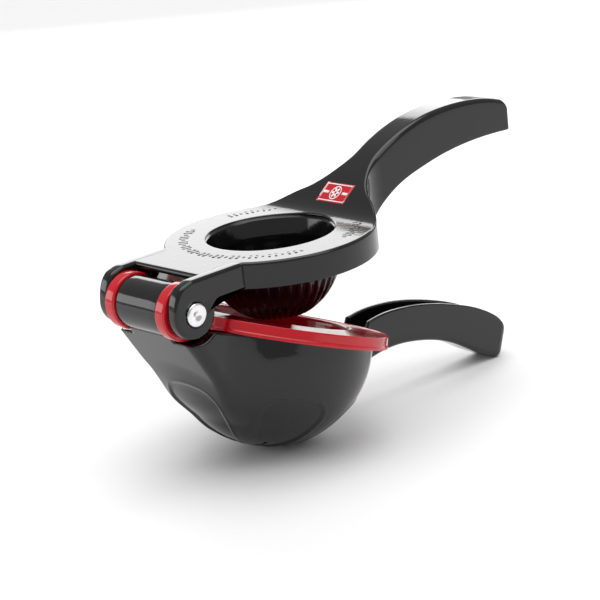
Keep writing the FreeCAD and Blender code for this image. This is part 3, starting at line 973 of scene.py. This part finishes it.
class PressLooks(bpy.types.PropertyGroup):
    """Finishes of the press."""
    black: bpy.props.FloatVectorProperty(
        name="Black enamel", description="Colour of the black castings",
        default=(0.004, 0.004, 0.0045), **COLOUR)
    red: bpy.props.FloatVectorProperty(
        name="Red enamel", description="Colour of the insert", default=(0.50, 0.006, 0.014), **COLOUR)
    steel: bpy.props.FloatVectorProperty(
        name="Steel", description="Colour of the hinge pin", default=(0.90, 0.90, 0.91), **COLOUR)
    print: bpy.props.FloatVectorProperty(
        name="Print", description="Colour of the sign on the label", default=(0.80, 0.80, 0.80), **COLOUR)
    gloss: bpy.props.FloatProperty(
        name="Roughness", description="Mean roughness of the enamel", default=0.09,
        subtype="FACTOR", min=0.0, max=1.0)


class PressStudio(bpy.types.PropertyGroup):
    """Floor, light and camera."""
    floor: bpy.props.FloatVectorProperty(
        name="Floor", description="Colour of the table", default=(0.90, 0.90, 0.90), **COLOUR)
    surround: bpy.props.FloatProperty(
        name="Surround", description="Strength of the even light", min=0.0, default=0.45)
    overhead: bpy.props.FloatProperty(
        name="Overhead", description="Strength of the soft light straight above", min=0.0, default=2.9)
    azimuth: bpy.props.FloatProperty(
        name="Azimuth", description="Camera bearing in the closed press's frame",
        default=math.radians(-43.966), **ANGLE)
    elevation: bpy.props.FloatProperty(
        name="Elevation", description="Camera height angle in that frame",
        default=math.radians(3.22), **ANGLE)
    roll: bpy.props.FloatProperty(
        name="Roll", description="Turn of the camera about its own axis",
        default=math.radians(8.901), **ANGLE)
    distance: bpy.props.FloatProperty(
        name="Distance", description="Camera to the middle of the press", default=0.8615, **LENGTH)
    aside: bpy.props.FloatProperty(
        name="Aside", description="Slide of the view to the right", default=-0.02349, **LENGTH)
    above: bpy.props.FloatProperty(
        name="Above", description="Slide of the view upwards", default=-0.00594, **LENGTH)
    lens: bpy.props.FloatProperty(
        name="Lens", description="Focal length on a 36 mm sensor", default=120.0)


# ------------------------ operators
class PRESS_OT_lower_arm(bpy.types.Operator):
    """Bowl, web, barrel and lower handle."""
    bl_idname = "press.lower_arm"
    bl_label = "Lower arm"

    def execute(self, context):
        for piece, nodes in ((make_lower_body(), ("lower_bowl", "lower_hinge_web")),
                             (make_barrel(), ("lower_hinge_barrel",)),
                             (make_lower_handle(), ("lower_handle",))):
            finish_with(piece, "lower_arm", "black_enamel", enamel_of("black"), *nodes)
        return {"FINISHED"}


class PRESS_OT_insert(bpy.types.Operator):
    """Red insert cup with its flange and hinge eyes."""
    bl_idname = "press.insert"
    bl_label = "Insert"

    def execute(self, context):
        finish_with(make_insert(), "insert", "red_enamel", enamel_of("red"), "insert_cup", "insert_flange")
        for (word, _), piece in zip(SIDES, make_eyes()):
            finish_with(piece, "insert", "red_enamel", enamel_of("red"), "insert_eye_" + word)
        return {"FINISHED"}


class PRESS_OT_upper_arm(bpy.types.Operator):
    """Ring plate, ribbed plunger, lugs and upper handle."""
    bl_idname = "press.upper_arm"
    bl_label = "Upper arm"

    def execute(self, context):
        pieces = [make_plate(), make_dome(), make_upper_handle(), *make_lugs()]
        nodes = ("plunger_ring", "plunger_dome", "upper_handle", "upper_lug_right", "upper_lug_left")
        for piece, node in zip(pieces, nodes):
            finish_with(piece, "upper_arm", "black_enamel", enamel_of("black"), node)
        return {"FINISHED"}


class PRESS_OT_marks(bpy.types.Operator):
    """Raised dashes on the ring and the plain printed label."""
    bl_idname = "press.marks"
    bl_label = "Marks"

    def execute(self, context):
        finish_with(make_ring_dashes(), "upper_arm", "black_enamel", enamel_of("black"))
        panel, sign = make_label()
        finish_with(panel, "upper_arm", "red_enamel", enamel_of("red"))
        finish_with(sign, "upper_arm", "red_enamel", enamel_of("print"))
        return {"FINISHED"}


class PRESS_OT_pin(bpy.types.Operator):
    """Steel hinge pin."""
    bl_idname = "press.pin"
    bl_label = "Hinge pin"

    def execute(self, context):
        colour = list(context.scene.press_looks.steel)
        finish_with(make_pin(), "upper_arm", "bright_steel", steel("bright steel", colour), "hinge_pin")
        return {"FINISHED"}


# name, bearing and height in degrees, distance and size in metres, shine
PANELS = (("far_panel", 46, 19, 1.25, (1.5, 0.46), 2.9),
          ("left_panel", 138, 13, 1.2, (0.7, 0.42), 2.6),
          ("near_panel", 285, 42, 1.3, (0.5, 0.5), 1.8))


class PRESS_OT_stage(bpy.types.Operator):
    """Pale floor, soft studio light and the camera."""
    bl_idname = "press.stage"
    bl_label = "Stage"

    def execute(self, context):
        studio = context.scene.press_studio
        floor_mesh = bpy.data.meshes.new("floor")
        floor_mesh.from_pydata([(-4, -4, 0), (4, -4, 0), (4, 4, 0), (-4, 4, 0)], [], [(0, 1, 2, 3)])
        floor = bpy.data.objects.new("floor", floor_mesh)
        context.collection.objects.link(floor)
        kit = Nodes("pale floor")
        tone = list(studio.floor)
        kit.shade("Base Color", kit.mix(kit.noise(3.0), tone, [c * 0.985 for c in tone]))
        kit.shader.inputs["Roughness"].default_value = 0.65
        floor_mesh.materials.append(kit.material)
        world = bpy.data.worlds.new("studio")
        world.use_nodes = True
        sky = world.node_tree
        background = sky.nodes["Background"]
        background.inputs["Color"].default_value = (1.0, 1.0, 1.0, 1.0)
        where = sky.nodes.new("ShaderNodeTexCoord")
        parts = sky.nodes.new("ShaderNodeSeparateXYZ")
        ramp = sky.nodes.new("ShaderNodeMapRange")
        ramp.interpolation_type = "SMOOTHSTEP"
        for socket, value in (("From Min", 0.80), ("From Max", 0.93),
                              ("To Min", studio.surround), ("To Max", studio.overhead)):
            ramp.inputs[socket].default_value = value
        sky.links.new(where.outputs["Generated"], parts.inputs["Vector"])
        sky.links.new(parts.outputs["Z"], ramp.inputs["Value"])
        sky.links.new(ramp.outputs["Result"], background.inputs["Strength"])
        context.scene.world = world
        context.scene.view_settings.view_transform = "Standard"
        for name, bearing, height, away, size, shine in PANELS:
            a, e = math.radians(bearing), math.radians(height)
            aim = Vector((0.0, 0.0, 0.07))
            spot = aim + away * Vector((math.cos(a) * math.cos(e), math.sin(a) * math.cos(e), math.sin(e)))
            light = bpy.data.lights.new(name, "AREA")
            light.shape = "RECTANGLE"
            light.size, light.size_y = size
            light.energy = shine * math.pi * size[0] * size[1]
            lamp = bpy.data.objects.new(name, light)
            turn = (aim - spot).to_track_quat("-Z", "Y").to_matrix().to_4x4()
            lamp.matrix_world = Matrix.Translation(spot) @ turn
            lamp.visible_camera = False
            context.collection.objects.link(lamp)
        make_camera(context, studio)
        return {"FINISHED"}


def make_camera(context, studio):
    """Camera set by bearing, height and roll about the middle of the closed press."""
    a, e, r = studio.azimuth, studio.elevation, studio.roll
    back = np.array([math.sin(a) * math.cos(e), -math.cos(a) * math.cos(e), math.sin(e)])
    side = np.array([math.cos(a), math.sin(a), 0.0])
    over = np.cross(back, side)
    right = math.cos(r) * side + math.sin(r) * over
    above = -math.sin(r) * side + math.cos(r) * over
    away = back * studio.distance - right * studio.aside - above * studio.above
    spot = placed(np.array([50.0, 0, 0]) + 1000 * away)
    axes = [placed(v * 1000.0) - HINGE_POINT for v in (right, above, back)]
    data = bpy.data.cameras.new("camera")
    data.lens = studio.lens
    data.sensor_width = 36.0
    data.clip_start = 0.01
    camera = bpy.data.objects.new("camera", data)
    rows = np.stack(axes, axis=1).tolist()
    camera.matrix_world = Matrix([[*row, p] for row, p in zip(rows, spot)] + [[0, 0, 0, 1]])
    context.collection.objects.link(camera)
    context.scene.camera = camera


class PRESS_PT_panel(bpy.types.Panel):
    """Lists the press's operators and its finish and studio settings in the sidebar."""
    bl_idname = "PRESS_PT_panel"
    bl_label = "Citrus press"
    bl_space_type = "VIEW_3D"
    bl_region_type = "UI"
    bl_category = "Citrus press"

    def draw(self, context):
        for operator in OPERATORS:
            self.layout.operator(operator.bl_idname)
        for group in (context.scene.press_looks, context.scene.press_studio):
            box = self.layout.box()
            for name in group.__annotations__:
                box.prop(group, name)


OPERATORS = (PRESS_OT_stage, PRESS_OT_lower_arm, PRESS_OT_insert, PRESS_OT_upper_arm,
             PRESS_OT_marks, PRESS_OT_pin)
CLASSES = (PressLooks, PressStudio) + OPERATORS + (PRESS_PT_panel,)


def register():
    for item in CLASSES:
        bpy.utils.register_class(item)
    bpy.types.Scene.press_looks = bpy.props.PointerProperty(type=PressLooks)
    bpy.types.Scene.press_studio = bpy.props.PointerProperty(type=PressStudio)


def unregister():
    del bpy.types.Scene.press_studio
    del bpy.types.Scene.press_looks
    for item in reversed(CLASSES):
        bpy.utils.unregister_class(item)


def main():
    register()
    for operator in OPERATORS:
        group, name = operator.bl_idname.split(".")
        getattr(getattr(bpy.ops, group), name)()


if __name__ == "__main__":
    main()
